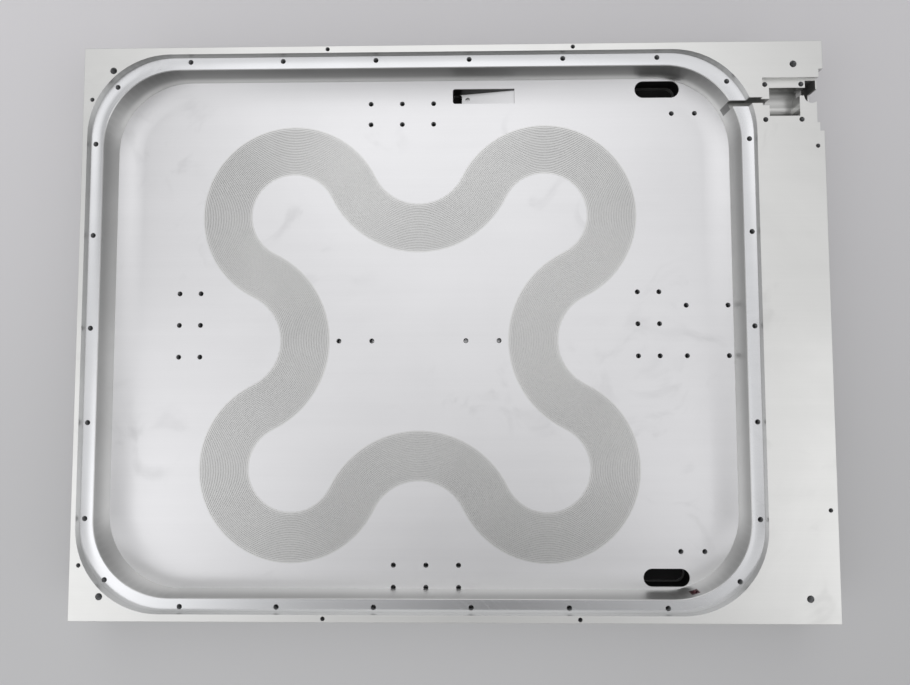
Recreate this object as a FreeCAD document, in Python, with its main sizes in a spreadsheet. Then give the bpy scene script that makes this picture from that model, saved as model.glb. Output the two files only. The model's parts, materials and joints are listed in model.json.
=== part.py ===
import FreeCAD, Part
import math
import os

import Sketcher

# A liquid cooled cold plate, milled from one aluminium slab: a rebated edge
# that takes a lid, a deep pocket with a wavy closed track for a coiled fibre,
# tapped holes for the parts that it cools, and a seat for a round connector.
# A coolant channel is milled into the back under the track and closed by a
# cover plate. Origin: middle of the back face. +Z points out of the pocket.

SIZES = (
    ("plate_length", 430, "slab, along X"),
    ("plate_width", 330, "slab, along Y"),
    ("floor_skin", 4, "floor between the pocket and the coolant channel"),
    ("edge_break", 0.4, "chamfer on the slab's and the pocket's long edges"),
    # rebate that the lid lies in
    ("left_rim", 3, "rim between the left side and the rebate"),
    ("long_rim", 4.25, "rim along both long sides"),
    ("right_land", 38.5, "wide land between the rebate and the right side"),
    ("rebate_depth", 4, "lid rebate, below the rim"),
    ("rebate_radius", 48, "corner radius of the rebate"),
    # pocket
    ("ledge_land", 7.5, "width of the ledge that the lid is screwed to"),
    ("pocket_depth", 16, "pocket, below the ledge"),
    ("pocket_radius", 44, "corner radius of the pocket"),
    # wavy closed track, eight tangent arcs
    ("track_middle_x", -19.5, "middle of the track"),
    ("track_middle_y", -7, "middle of the track"),
    ("lobe_offset", 76.3, "lobe centre from the middle, along X and along Y"),
    ("lobe_radius", 40.5, "centre line of a lobe"),
    ("bay_offset", 112.7, "centre of the bay between two lobes, from the middle"),
    ("track_width", 30, "band of fine grooves"),
    ("track_depth", 0.4, "depth of the band"),
    # tapped holes
    ("small_bore", 3, "M3 holes, outer diameter of the thread"),
    ("rim_bore", 2.5, "M2.5 holes in the rim, outer diameter of the thread"),
    ("lid_hole_depth", 8, "holes in the ledge and the rim"),
    ("floor_hole_depth", 6, "M3 holes in the pocket floor"),
    ("lid_hole_edge", 2.75, "ledge holes from the rebate wall"),
    ("lid_pitch_x", 55, "ledge holes along the long sides"),
    ("lid_pitch_y", 54.5, "ledge holes along the short sides"),
    ("lid_row_shift", 1.5, "rows of the long sides from the pocket's middle"),
    ("lid_corner_x", 15, "corner ledge hole from the rebate wall, along X"),
    ("lid_corner_y", 17.5, "corner ledge hole from the rebate wall, along Y"),
    ("rim_row_half", 71.5, "half distance of the holes in the long rims"),
    ("rim_left_edge", 5.4, "left rim holes from the left side"),
    ("rim_left_half", 134, "half distance of the left rim holes"),
    ("rim_right_edge", 4.3, "right rim holes from the right side"),
    ("rim_right_half", 103, "half distance of the right rim holes"),
    ("corner_bore", 4, "M4 holes through the four corners, outer diameter of the thread"),
    ("corner_edge_left", 17.5, "left corner holes from the left side"),
    ("corner_edge_right", 17, "right corner holes from the right side"),
    ("corner_edge_long", 13.8, "corner holes from the long sides"),
    ("group_pitch_long", 19.25, "two by three hole groups, long way"),
    ("group_pitch_short", 12.9, "two by three hole groups, short way"),
    ("top_group_x", -29.75, "hole group by the top wall"),
    ("top_group_wall", 20.75, "that group, from the pocket's top wall"),
    ("bottom_group_x", -15.2, "hole group by the bottom wall"),
    ("bottom_group_wall", 7.15, "that group, from the pocket's bottom wall"),
    ("left_group_x", -158.5, "hole group by the left wall"),
    ("right_group_x", 118.4, "hole group by the right wall"),
    ("side_group_y", 2.8, "both side groups"),
    ("square_x", 153.45, "four holes beside the right group"),
    ("square_y", -1.3, "four holes beside the right group"),
    ("square_length", 24.9, "four holes, along X"),
    ("square_width", 30.3, "four holes, along Y"),
    ("pair_x", 141.6, "pairs of holes by the cable slots"),
    ("pair_wall", 21.85, "pairs of holes, from the pocket's long walls"),
    ("pair_pitch", 14, "pairs of holes, along X"),
    ("inner_pair_half", 38.3, "pairs of holes inside the track, from its middle"),
    ("inner_pair_pitch", 19.9, "pairs of holes inside the track, along X"),
    # cable slots and sloped fibre slot
    ("slot_x", 126, "cable slots through the floor"),
    ("slot_wall", 6.75, "middle lines of the cable slots, from the pocket's long walls"),
    ("slot_length", 27, "cable slots, end to end"),
    ("slot_width", 10.4, "cable slots"),
    ("ramp_x", 1.3, "deep end of the sloped slot"),
    ("ramp_wall", 9.95, "middle line of the sloped slot, from the pocket's top wall"),
    ("ramp_length", 37.8, "sloped slot, end to end"),
    ("ramp_width", 9.3, "sloped slot"),
    ("ramp_depth", 8, "where the slope meets its hole"),
    ("ramp_end_depth", 2.5, "shallow end of the slope"),
    ("ramp_hole_length", 5.6, "hole at the deep end, through the floor"),
    ("ramp_corner", 1.5, "corner radius of that hole"),
    ("ramp_drill", 2.8, "small hole in the slope's foot"),
    ("ramp_drill_x", 9.15, "small hole, from the slot's deep end"),
    ("ramp_drill_y", 1.3, "small hole, above the slot's middle line"),
    ("ramp_drill_depth", 10, "small hole, below the pocket floor"),
    ("vent_drill", 3.5, "vent through the bottom wall"),
    ("vent_x", 138.3, "vent"),
    ("vent_drop", 6.1, "vent, below the ledge"),
    # connector seat on the right land
    ("seat_side", 35, "axis of the connector, from the top side"),
    ("seat_depth", 2.5, "seat, below the rim"),
    ("seat_length", 35, "seat, from the right side"),
    ("seat_width", 26.6, "seat, along Y"),
    ("seat_hole_pitch", 20.8, "four clamp holes on a square"),
    ("seat_hole_x", 21.9, "middle of the clamp holes, from the right side"),
    ("seat_hole_depth", 6, "four clamp holes"),
    ("cradle_radius", 8.3, "half round cradle"),
    ("cradle_start", 29.9, "cradle, from the right side"),
    ("cradle_length", 17.5, "cradle, along X"),
    ("cable_groove", 3.4, "groove from the pocket to the cradle"),
    ("cable_depth", 7.5, "groove, below the rim"),
    ("flange_depth", 2.7, "inset of the right side for the connector's flange"),
    ("flange_width", 36.5, "inset, along Y"),
    ("lead_width", 4.7, "notch for the leads between the cradle and the keyway"),
    ("lead_depth", 4, "that notch, below the seat"),
    ("nut_radius", 4.4, "round clearance beside the cradle"),
    ("nut_x", 5.4, "round clearance, from the right side"),
    ("nut_y", 3.6, "round clearance, above the connector's axis"),
    ("nut_depth", 8, "round clearance, below the seat"),
    ("key_length", 6, "keyway beside the cradle, along X"),
    ("key_start", 9.3, "keyway, from the right side"),
    ("key_top", 12.4, "keyway's far end, above the connector's axis"),
    ("key_depth", 12, "keyway, below the seat"),
    # coolant channel, cover and ports
    ("cover_thickness", 3, "cover plate of the channel"),
    ("cover_margin", 6, "cover plate beyond the channel"),
    ("cover_radius", 20, "corner radius of the cover plate"),
    ("cover_gap", 0.1, "cover plate to the wall of its rebate"),
    ("channel_width", 14, "coolant channel"),
    ("channel_depth", 5, "coolant channel, above the cover plate"),
    ("channel_half", 112, "loop of the channel, from the track's middle to each side"),
    ("turn_radius", 24, "bends of the channel"),
    ("feed_offset", 52, "feeds, from the track's middle along Y"),
    ("feed_end", 27, "end of the feeds, from the right side"),
    ("port_bore", 13.2, "G 1/4 ports, outer diameter of the thread"),
    ("port_depth", 14, "G 1/4 ports, from the right side"),
    ("passage_drill", 8, "hole between a port and its feed"),
    ("passage_dip", 1.5, "how far that hole dips into the channel"),
    ("passage_end", 36, "end of that hole, from the right side"),
)

doc = FreeCAD.newDocument("cold_plate")
sheet = doc.addObject("Spreadsheet::Sheet", "Sizes")


class Size:
    """A number with the spreadsheet expression that gives it."""

    def __init__(self, number, text):
        self.number = float(number)
        self.text = text

    def __add__(self, other):
        other = as_size(other)
        return Size(self.number + other.number, f"({self.text} + {other.text})")

    def __sub__(self, other):
        other = as_size(other)
        return Size(self.number - other.number, f"({self.text} - {other.text})")

    def __mul__(self, other):
        other = as_size(other)
        return Size(self.number * other.number, f"({self.text} * {other.text})")

    def __truediv__(self, other):
        other = as_size(other)
        return Size(self.number / other.number, f"({self.text} / {other.text})")

    def __neg__(self):
        return Size(-self.number, f"(-1 * {self.text})")


def as_size(value):
    return value if isinstance(value, Size) else Size(value, f"({value})")


def fill_sheet():
    """Writes the driving dimensions and returns them by name."""
    sizes = {}
    for row, (name, number, note) in enumerate(SIZES, start=1):
        sheet.set(f"A{row}", name)
        sheet.set(f"B{row}", str(number))
        sheet.set(f"C{row}", note)
        sheet.setAlias(f"B{row}", name)
        sizes[name] = Size(number, f"Sizes.{name}")
    doc.recompute()
    return sizes


S = fill_sheet()
ZERO = Size(0, "0")

# ---- places worked out from the driving dimensions ----

LEFT = -S["plate_length"] / 2
RIGHT = S["plate_length"] / 2
FAR_SIDE = S["plate_width"] / 2
CHANNEL_TOP = S["cover_thickness"] + S["channel_depth"]
FLOOR = CHANNEL_TOP + S["floor_skin"]
LEDGE = FLOOR + S["pocket_depth"]
TOP = LEDGE + S["rebate_depth"]
SEAT = TOP - S["seat_depth"]

REBATE_LEFT = LEFT + S["left_rim"]
REBATE_RIGHT = RIGHT - S["right_land"]
REBATE_HALF = FAR_SIDE - S["long_rim"]
REBATE_MIDDLE = (REBATE_LEFT + REBATE_RIGHT) / 2
POCKET_LEFT = REBATE_LEFT + S["ledge_land"]
POCKET_RIGHT = REBATE_RIGHT - S["ledge_land"]
POCKET_HALF = REBATE_HALF - S["ledge_land"]

RAMP_Y = POCKET_HALF - S["ramp_wall"]
SLOT_HALF = POCKET_HALF - S["slot_wall"]
SEAT_Y = FAR_SIDE - S["seat_side"]

TRACK_X = S["track_middle_x"]
TRACK_Y = S["track_middle_y"]
COVER_REACH = S["channel_half"] + S["channel_width"] / 2 + S["cover_margin"]
COVER_LEFT = TRACK_X - COVER_REACH
COVER_RIGHT = RIGHT - S["feed_end"] + S["cover_margin"]
COVER_LOW = TRACK_Y - COVER_REACH
COVER_HIGH = TRACK_Y + COVER_REACH
FEEDS = (TRACK_Y + S["feed_offset"], TRACK_Y - S["feed_offset"])
FEED_END = RIGHT - S["feed_end"]
PORT_HEIGHT = CHANNEL_TOP - S["passage_dip"] + S["passage_drill"] / 2

# ---- sketch helpers ----


def vector(x, y, z=0.0):
    return FreeCAD.Vector(x, y, z)


def bind(thing, prop, size):
    thing.setExpression(prop, as_size(size).text)


def new_sketch(body, name, role="XY_Plane", level=ZERO):
    """A sketch on one of the body's own planes, lifted to a level along its normal."""
    sketch = body.newObject("Sketcher::SketchObject", name)
    plane = [f for f in body.Origin.OriginFeatures if f.Role == role][0]
    sketch.AttachmentSupport = [(plane, "")]
    sketch.MapMode = "FlatFace"
    bind(sketch, "AttachmentOffset.Base.z", level)
    return sketch


def constrain(sketch, kind, *where):
    sketch.addConstraint(Sketcher.Constraint(kind, *where))


def dimension(sketch, kind, size, *where):
    """A dimension bound to the spreadsheet."""
    index = sketch.addConstraint(Sketcher.Constraint(kind, *where, size.number))
    sketch.setExpression(f"Constraints[{index}]", size.text)


def fix_point(sketch, geometry, point, x=None, y=None):
    """Places a point of the geometry; a coordinate that is None stays free."""
    if x is not None:
        dimension(sketch, "DistanceX", as_size(x), -1, 1, geometry, point)
    if y is not None:
        dimension(sketch, "DistanceY", as_size(y), -1, 1, geometry, point)


def draw_line(sketch, start, end):
    return sketch.addGeometry(Part.LineSegment(vector(*start), vector(*end)), False)


def draw_arc(sketch, middle, radius, start, end):
    """An arc drawn counter-clockwise, angles in degrees."""
    circle = Part.Circle(vector(*middle), vector(0, 0, 1), radius)
    arc = Part.ArcOfCircle(circle, math.radians(start), math.radians(end))
    return sketch.addGeometry(arc, False)


def draw_polygon(sketch, corners):
    """A closed outline whose corners are all placed."""
    count = len(corners)
    points = [(x.number, y.number) for x, y in corners]
    lines = [draw_line(sketch, points[i], points[(i + 1) % count]) for i in range(count)]
    for i, line in enumerate(lines):
        constrain(sketch, "Coincident", line, 2, lines[(i + 1) % count], 1)
        fix_point(sketch, line, 1, *corners[i])
    return lines


def draw_rectangle(sketch, left, low, right, high):
    return draw_polygon(sketch, [(left, low), (right, low), (right, high), (left, high)])


def draw_rounded(sketch, left, low, right, high, radius):
    """A rectangle with four equal tangent corner arcs."""
    x0, y0, x1, y1 = (v.number for v in (left, low, right, high))
    r = radius.number
    bottom = draw_line(sketch, (x0 + r, y0), (x1 - r, y0))
    side = draw_line(sketch, (x1, y0 + r), (x1, y1 - r))
    top = draw_line(sketch, (x1 - r, y1), (x0 + r, y1))
    back = draw_line(sketch, (x0, y1 - r), (x0, y0 + r))
    arcs = [
        draw_arc(sketch, (x1 - r, y0 + r), r, 270, 360),
        draw_arc(sketch, (x1 - r, y1 - r), r, 0, 90),
        draw_arc(sketch, (x0 + r, y1 - r), r, 90, 180),
        draw_arc(sketch, (x0 + r, y0 + r), r, 180, 270),
    ]
    lines = (bottom, side, top, back)
    for i, arc in enumerate(arcs):
        constrain(sketch, "Tangent", lines[i], 2, arc, 1)
        constrain(sketch, "Tangent", arc, 2, lines[(i + 1) % 4], 1)
        if i:
            constrain(sketch, "Equal", arcs[0], arc)
    for line, direction in zip(lines, ("Horizontal", "Vertical") * 2):
        constrain(sketch, direction, line)
    dimension(sketch, "Radius", radius, arcs[0])
    fix_point(sketch, bottom, 1, y=low)
    fix_point(sketch, side, 1, x=right)
    fix_point(sketch, top, 1, y=high)
    fix_point(sketch, back, 1, x=left)


def draw_stadium(sketch, middle_x, middle_y, length, width):
    """A slot along X with full round ends."""
    x, y, r = middle_x.number, middle_y.number, width.number / 2
    half = length.number / 2 - r
    low = draw_line(sketch, (x - half, y - r), (x + half, y - r))
    end = draw_arc(sketch, (x + half, y), r, 270, 450)
    high = draw_line(sketch, (x + half, y + r), (x - half, y + r))
    start = draw_arc(sketch, (x - half, y), r, 90, 270)
    loop = (low, end, high, start)
    for i, piece in enumerate(loop):
        constrain(sketch, "Tangent", piece, 2, loop[(i + 1) % 4], 1)
    constrain(sketch, "Horizontal", low)
    dimension(sketch, "Radius", width / 2, end)
    fix_point(sketch, end, 3, middle_x + (length - width) / 2, middle_y)
    fix_point(sketch, start, 3, x=middle_x - (length - width) / 2)


def draw_holes(sketch, centres, diameter):
    for x, y in centres:
        x, y = as_size(x), as_size(y)
        circle = Part.Circle(vector(x.number, y.number), vector(0, 0, 1), diameter.number / 2)
        hole = sketch.addGeometry(circle, False)
        dimension(sketch, "Radius", diameter / 2, hole)
        fix_point(sketch, hole, 3, x, y)


# ---- feature helpers ----


def cut_pocket(body, sketch, depth=None, upwards=False):
    """A pocket below the sketch, or above it from the back face; no depth cuts through."""
    before = body.Shape.Volume
    pocket = body.newObject("PartDesign::Pocket", f"{sketch.Name}_pocket")
    pocket.Profile = sketch
    pocket.Reversed = upwards
    if depth is None:
        pocket.Type = "ThroughAll"
    else:
        bind(pocket, "Length", depth)
    doc.recompute()
    check_cut(pocket.Name, before, body.Shape.Volume)
    return pocket


def check_cut(name, before, after):
    if not after < before:
        raise RuntimeError(f"{name} cuts nothing")


def drill(body, name, level, centres, diameter, depth=None):
    """Holes from a level down, flat at the end; no depth drills through."""
    sketch = new_sketch(body, name, level=level)
    draw_holes(sketch, centres, diameter)
    doc.recompute()
    before = body.Shape.Volume
    hole = body.newObject("PartDesign::Hole", f"{name}_drilled")
    hole.Profile = sketch
    doc.recompute()
    hole.Threaded = False
    hole.DrillPoint = "Flat"
    bind(hole, "Diameter", diameter)
    if depth is None:
        hole.DepthType = "ThroughAll"
    else:
        hole.DepthType = "Dimension"
        bind(hole, "Depth", depth)
    doc.recompute()
    check_cut(hole.Name, before, body.Shape.Volume)


def bore_along(body, name, radius, length, base, turn=None):
    """Removes a cylinder that starts at the base; turn is its rotation from +Z."""
    before = body.Shape.Volume
    cylinder = body.newObject("PartDesign::SubtractiveCylinder", name)
    bind(cylinder, "Radius", radius)
    bind(cylinder, "Height", length)
    if turn is not None:
        cylinder.Placement = FreeCAD.Placement(vector(0, 0, 0), turn)
    for axis, size in zip("xyz", base):
        bind(cylinder, f"Placement.Base.{axis}", size)
    doc.recompute()
    check_cut(name, before, body.Shape.Volume)


def break_edges(body, name, wanted):
    """Chamfers the edges of the finished shape that the test picks."""
    tip = body.Tip
    edges = [f"Edge{i}" for i, edge in enumerate(tip.Shape.Edges, start=1) if wanted(edge)]
    before = body.Shape.Volume
    chamfer = body.newObject("PartDesign::Chamfer", name)
    chamfer.Base = (tip, edges)
    bind(chamfer, "Size", S["edge_break"])
    doc.recompute()
    check_cut(name, before, body.Shape.Volume)


def lies_at(level):
    """A test for edges that lie wholly at one height."""

    def test(edge):
        box = edge.BoundBox
        return max(abs(box.ZMin - level.number), abs(box.ZMax - level.number)) < 1e-6

    return test


# ---- the wavy track and the coolant path below it ----


def quarter_turns(x, y, count):
    for _ in range(count):
        x, y = -y, x
    return x, y


def draw_lobes_and_bays(sketch, shift):
    """Four lobes on the diagonals joined by bays on the axes, all tangent.

    The shift moves the line outwards from the middle of the track. Bay 0 lies
    to the right, and the others follow counter-clockwise. The radius of each
    bay follows from the lobes that it touches.
    """
    a, r, d = (S[n].number for n in ("lobe_offset", "lobe_radius", "bay_offset"))
    bay_radius = math.hypot(a, d - a) - r - shift.number
    to_bay = math.degrees(math.atan2(a, d - a))
    middle = (TRACK_X.number, TRACK_Y.number)
    lobes = []
    for turn in range(4):
        x, y = quarter_turns(a, a, turn)
        centre = (middle[0] + x, middle[1] + y)
        start = turn * 90 - to_bay
        end = turn * 90 + 90 + to_bay
        lobes.append(draw_arc(sketch, centre, r + shift.number, start, end))
    for turn in range(4):
        x, y = quarter_turns(d, 0, turn)
        centre = (middle[0] + x, middle[1] + y)
        facing = turn * 90 + 180
        bay = draw_arc(sketch, centre, bay_radius, facing - to_bay, facing + to_bay)
        constrain(sketch, "Tangent", lobes[turn - 1], 2, bay, 2)
        constrain(sketch, "Tangent", bay, 1, lobes[turn], 1)
        sign_x, sign_y = quarter_turns(1, 0, turn)
        if sign_x:
            fix_point(sketch, bay, 3, x=TRACK_X + S["bay_offset"] * sign_x)
        else:
            fix_point(sketch, bay, 3, y=TRACK_Y + S["bay_offset"] * sign_y)
    for turn, lobe in enumerate(lobes):
        sign_x, sign_y = quarter_turns(1, 1, turn)
        lobe_x = TRACK_X + S["lobe_offset"] * sign_x
        lobe_y = TRACK_Y + S["lobe_offset"] * sign_y
        fix_point(sketch, lobe, 3, lobe_x, lobe_y)
        if turn:
            constrain(sketch, "Equal", lobes[0], lobe)
    dimension(sketch, "Radius", S["lobe_radius"] + shift, lobes[0])


def draw_bent_run(sketch, corners, radii):
    """Straight runs along X and Y joined by tangent bends; returns the first and last run.

    The first and the last point keep their X open, for the caller to place.
    """
    points = [(x.number, y.number) for x, y in corners]
    steps = []
    for (x0, y0), (x1, y1) in zip(points, points[1:]):
        length = math.hypot(x1 - x0, y1 - y0)
        steps.append(((x1 - x0) / length, (y1 - y0) / length))
    trims = [0.0] + [radius.number for radius in radii] + [0.0]
    runs = []
    for i, (step_x, step_y) in enumerate(steps):
        (x0, y0), (x1, y1) = points[i], points[i + 1]
        start = (x0 + step_x * trims[i], y0 + step_y * trims[i])
        end = (x1 - step_x * trims[i + 1], y1 - step_y * trims[i + 1])
        runs.append(draw_line(sketch, start, end))
        level = abs(step_y) < 0.5
        constrain(sketch, "Horizontal" if level else "Vertical", runs[i])
        fix_point(sketch, runs[i], 2, **({"y": corners[i][1]} if level else {"x": corners[i][0]}))
    for i, radius in enumerate(radii):
        (in_x, in_y), (out_x, out_y) = steps[i], steps[i + 1]
        corner_x, corner_y = points[i + 1]
        r = radius.number
        centre = (corner_x - r * in_x + r * out_x, corner_y - r * in_y + r * out_y)
        start = math.degrees(math.atan2(-out_y, -out_x))
        end = math.degrees(math.atan2(in_y, in_x))
        left_turn = in_x * out_y - in_y * out_x > 0
        first, last = (start, end) if left_turn else (end, start)
        bend = draw_arc(sketch, centre, r, first, last if last > first else last + 360)
        constrain(sketch, "Tangent", runs[i], 2, bend, 1 if left_turn else 2)
        constrain(sketch, "Tangent", bend, 2 if left_turn else 1, runs[i + 1], 1)
        dimension(sketch, "Radius", radius, bend)
    return runs[0], runs[-1]


def mill_track(body):
    """The shallow closed band in the pocket floor."""
    sketch = new_sketch(body, "track", level=FLOOR)
    for shift in (S["track_width"] / 2, -S["track_width"] / 2):
        draw_lobes_and_bays(sketch, shift)
    cut_pocket(body, sketch, S["track_depth"])


def channel_side(shift):
    """One side of the channel: its corners and bend radii, the shift pointing outwards."""
    half = S["channel_half"] + shift
    right, left = TRACK_X + half, TRACK_X - half
    high, low = TRACK_Y + half, TRACK_Y - half
    feed_a, feed_b = FEEDS[0] + shift, FEEDS[1] - shift
    corners = [(FEED_END, feed_a), (right, feed_a), (right, high), (left, high),
               (left, low), (right, low), (right, feed_b), (FEED_END, feed_b)]
    feed_bend, loop_bend = S["turn_radius"] - shift, S["turn_radius"] + shift
    return corners, [feed_bend] + [loop_bend] * 4 + [feed_bend]


def mill_channel(body):
    """The coolant channel in the back: two feeds and a loop below the track."""
    sketch = new_sketch(body, "coolant_channel", level=S["cover_thickness"])
    half = S["channel_width"] / 2
    outer = draw_bent_run(sketch, *channel_side(half))
    inner = draw_bent_run(sketch, *channel_side(-half))
    for i, (feed, point) in enumerate(zip(FEEDS, (1, 2))):
        up = half.number if i == 0 else -half.number
        x, y = FEED_END.number, feed.number
        cap = draw_line(sketch, (x, y + up), (x, y - up))
        constrain(sketch, "Coincident", cap, 1, outer[i], point)
        constrain(sketch, "Coincident", cap, 2, inner[i], point)
        constrain(sketch, "Vertical", cap)
        fix_point(sketch, cap, 1, x=FEED_END)
    cut_pocket(body, sketch, S["channel_depth"], upwards=True)


# ---- hole positions ----


def grid(middle_x, middle_y, pitch_x, pitch_y, columns, rows):
    """Centres of a regular grid of holes."""
    return [
        (
            as_size(middle_x) + as_size(pitch_x) * (column - (columns - 1) / 2),
            as_size(middle_y) + as_size(pitch_y) * (row - (rows - 1) / 2),
        )
        for column in range(columns)
        for row in range(rows)
    ]


def four_corners(middle_x, half_x, half_y):
    return [(middle_x + half_x * sx, half_y * sy) for sx in (-1, 1) for sy in (-1, 1)]


def ledge_holes():
    row_y = REBATE_HALF - S["lid_hole_edge"]
    column_half = (REBATE_RIGHT - REBATE_LEFT) / 2 - S["lid_hole_edge"]
    centres = grid(REBATE_MIDDLE + S["lid_row_shift"], ZERO, S["lid_pitch_x"], row_y * 2, 6, 2)
    centres += grid(REBATE_MIDDLE, ZERO, column_half * 2, S["lid_pitch_y"], 2, 5)
    corner_half_x = (REBATE_RIGHT - REBATE_LEFT) / 2 - S["lid_corner_x"]
    corner_half_y = REBATE_HALF - S["lid_corner_y"]
    return centres + four_corners(REBATE_MIDDLE, corner_half_x, corner_half_y)


def rim_holes():
    rim_y = FAR_SIDE - S["long_rim"] / 2
    centres = four_corners(ZERO, S["rim_row_half"], rim_y)
    centres += grid(LEFT + S["rim_left_edge"], ZERO, ZERO, S["rim_left_half"] * 2, 1, 2)
    centres += grid(RIGHT - S["rim_right_edge"], ZERO, ZERO, S["rim_right_half"] * 2, 1, 2)
    return centres


def corner_holes():
    half_y = FAR_SIDE - S["corner_edge_long"]
    return [
        (x, half_y * side)
        for x in (LEFT + S["corner_edge_left"], RIGHT - S["corner_edge_right"])
        for side in (-1, 1)
    ]


def floor_holes():
    long_way, short_way = S["group_pitch_long"], S["group_pitch_short"]
    centres = grid(S["top_group_x"], POCKET_HALF - S["top_group_wall"], long_way, short_way, 3, 2)
    centres += grid(S["bottom_group_x"], S["bottom_group_wall"] - POCKET_HALF, long_way, short_way, 3, 2)
    centres += grid(S["left_group_x"], S["side_group_y"], short_way, long_way, 2, 3)
    centres += grid(S["right_group_x"], S["side_group_y"], short_way, long_way, 2, 3)
    centres += grid(S["square_x"], S["square_y"], S["square_length"], S["square_width"], 2, 2)
    pair_half = POCKET_HALF - S["pair_wall"]
    centres += grid(S["pair_x"], ZERO, S["pair_pitch"], pair_half * 2, 2, 2)
    for side in (-1, 1):
        pair_x = TRACK_X + S["inner_pair_half"] * side
        centres += grid(pair_x, TRACK_Y, S["inner_pair_pitch"], ZERO, 2, 1)
    return centres


def seat_holes():
    pitch = S["seat_hole_pitch"]
    return grid(RIGHT - S["seat_hole_x"], SEAT_Y, pitch, pitch, 2, 2)


# ---- sub-parts ----


def mill_slab(body):
    """The slab with its lid rebate and its pocket."""
    outline = new_sketch(body, "slab_outline")
    draw_rectangle(outline, LEFT, -FAR_SIDE, RIGHT, FAR_SIDE)
    pad = body.newObject("PartDesign::Pad", "slab")
    pad.Profile = outline
    bind(pad, "Length", TOP)
    doc.recompute()
    break_edges(body, "slab_edges", lambda edge: lies_at(TOP)(edge) or lies_at(ZERO)(edge))

    rebate = new_sketch(body, "lid_rebate", level=TOP)
    draw_rounded(rebate, REBATE_LEFT, -REBATE_HALF, REBATE_RIGHT, REBATE_HALF, S["rebate_radius"])
    cut_pocket(body, rebate, S["rebate_depth"])
    pocket = new_sketch(body, "deep_pocket", level=LEDGE)
    draw_rounded(pocket, POCKET_LEFT, -POCKET_HALF, POCKET_RIGHT, POCKET_HALF, S["pocket_radius"])
    cut_pocket(body, pocket, S["pocket_depth"])

    def pocket_mouth(edge):
        box = edge.BoundBox
        spare = min(box.XMin - POCKET_LEFT.number, POCKET_RIGHT.number - box.XMax,
                    box.YMin + POCKET_HALF.number, POCKET_HALF.number - box.YMax)
        return lies_at(LEDGE)(edge) and spare > -1e-6

    break_edges(body, "pocket_edge", pocket_mouth)


def mill_slots(body):
    """Cable slots, the sloped fibre slot with its holes, and the vent."""
    slots = new_sketch(body, "cable_slots", level=FLOOR)
    for side in (-1, 1):
        draw_stadium(slots, S["slot_x"], SLOT_HALF * side, S["slot_length"], S["slot_width"])
    cut_pocket(body, slots)

    slope = new_sketch(body, "fibre_slope", "XZ_Plane", -RAMP_Y)
    start = S["ramp_x"] + S["ramp_hole_length"]
    end = S["ramp_x"] + S["ramp_length"]
    above = FLOOR + 1
    draw_polygon(slope, [(start - 1, FLOOR - S["ramp_depth"]), (start, FLOOR - S["ramp_depth"]),
                         (end, FLOOR - S["ramp_end_depth"]), (end, above), (start - 1, above)])
    before = body.Shape.Volume
    cut = body.newObject("PartDesign::Pocket", "fibre_slope_pocket")
    cut.Profile = slope
    cut.Midplane = True
    bind(cut, "Length", S["ramp_width"])
    doc.recompute()
    check_cut(cut.Name, before, body.Shape.Volume)

    mouth = new_sketch(body, "fibre_hole", level=FLOOR)
    low, high = (RAMP_Y + S["ramp_width"] / 2 * side for side in (-1, 1))
    draw_rounded(mouth, S["ramp_x"], low, start, high, S["ramp_corner"])
    cut_pocket(body, mouth)
    small_hole = [(S["ramp_x"] + S["ramp_drill_x"], RAMP_Y + S["ramp_drill_y"])]
    drill(body, "slope_foot_hole", FLOOR, small_hole, S["ramp_drill"], S["ramp_drill_depth"])

    # starts well inside the pocket and ends beyond the slab's side
    base = (S["vent_x"], S["pocket_radius"] - POCKET_HALF, LEDGE - S["vent_drop"])
    length = FAR_SIDE - POCKET_HALF + S["pocket_radius"] + 1
    outwards = FreeCAD.Rotation(vector(1, 0, 0), 90)
    bore_along(body, "vent", S["vent_drill"] / 2, length, base, outwards)


def mill_connector_seat(body):
    """The stepped seat on the right land, for a round connector and its clamp."""
    axis = SEAT_Y
    flange = new_sketch(body, "flange_inset", level=TOP)
    flange_x = RIGHT - S["flange_depth"]
    half = S["flange_width"] / 2
    draw_rectangle(flange, flange_x, axis - half, RIGHT + 1, axis + half)
    cut_pocket(body, flange)

    seat = new_sketch(body, "seat", level=TOP)
    half = S["seat_width"] / 2
    draw_rectangle(seat, RIGHT - S["seat_length"], axis - half, RIGHT + 1, axis + half)
    cut_pocket(body, seat, S["seat_depth"])

    along_x = FreeCAD.Rotation(vector(0, 1, 0), 90)
    base = (RIGHT - S["cradle_start"], axis, SEAT)
    bore_along(body, "cradle", S["cradle_radius"], S["cradle_length"], base, along_x)

    groove = new_sketch(body, "cable_groove_line", level=TOP)
    half = S["cable_groove"] / 2
    groove_end = RIGHT - S["cradle_start"] + 1
    # starts inside the pocket, clear of its rounded corner
    groove_start = POCKET_RIGHT - S["pocket_radius"]
    draw_rectangle(groove, groove_start, axis - half, groove_end, axis + half)
    cut_pocket(body, groove, S["cable_depth"])

    key = new_sketch(body, "keyway", level=SEAT)
    key_x = RIGHT - S["key_start"]
    draw_rectangle(key, key_x, axis + S["nut_y"], key_x + S["key_length"], axis + S["key_top"])
    cut_pocket(body, key, S["key_depth"])

    lead = new_sketch(body, "lead_notch", level=SEAT)
    lead_x = RIGHT - S["cradle_start"] + S["cradle_length"] - 1
    lead_y = axis + S["nut_y"]
    draw_rectangle(lead, lead_x, lead_y, key_x + 1, lead_y + S["lead_width"])
    cut_pocket(body, lead, S["lead_depth"])

    clearance = new_sketch(body, "nut_clearance", level=SEAT)
    draw_holes(clearance, [(RIGHT - S["nut_x"], axis + S["nut_y"])], S["nut_radius"] * 2)
    cut_pocket(body, clearance, S["nut_depth"])


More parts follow.
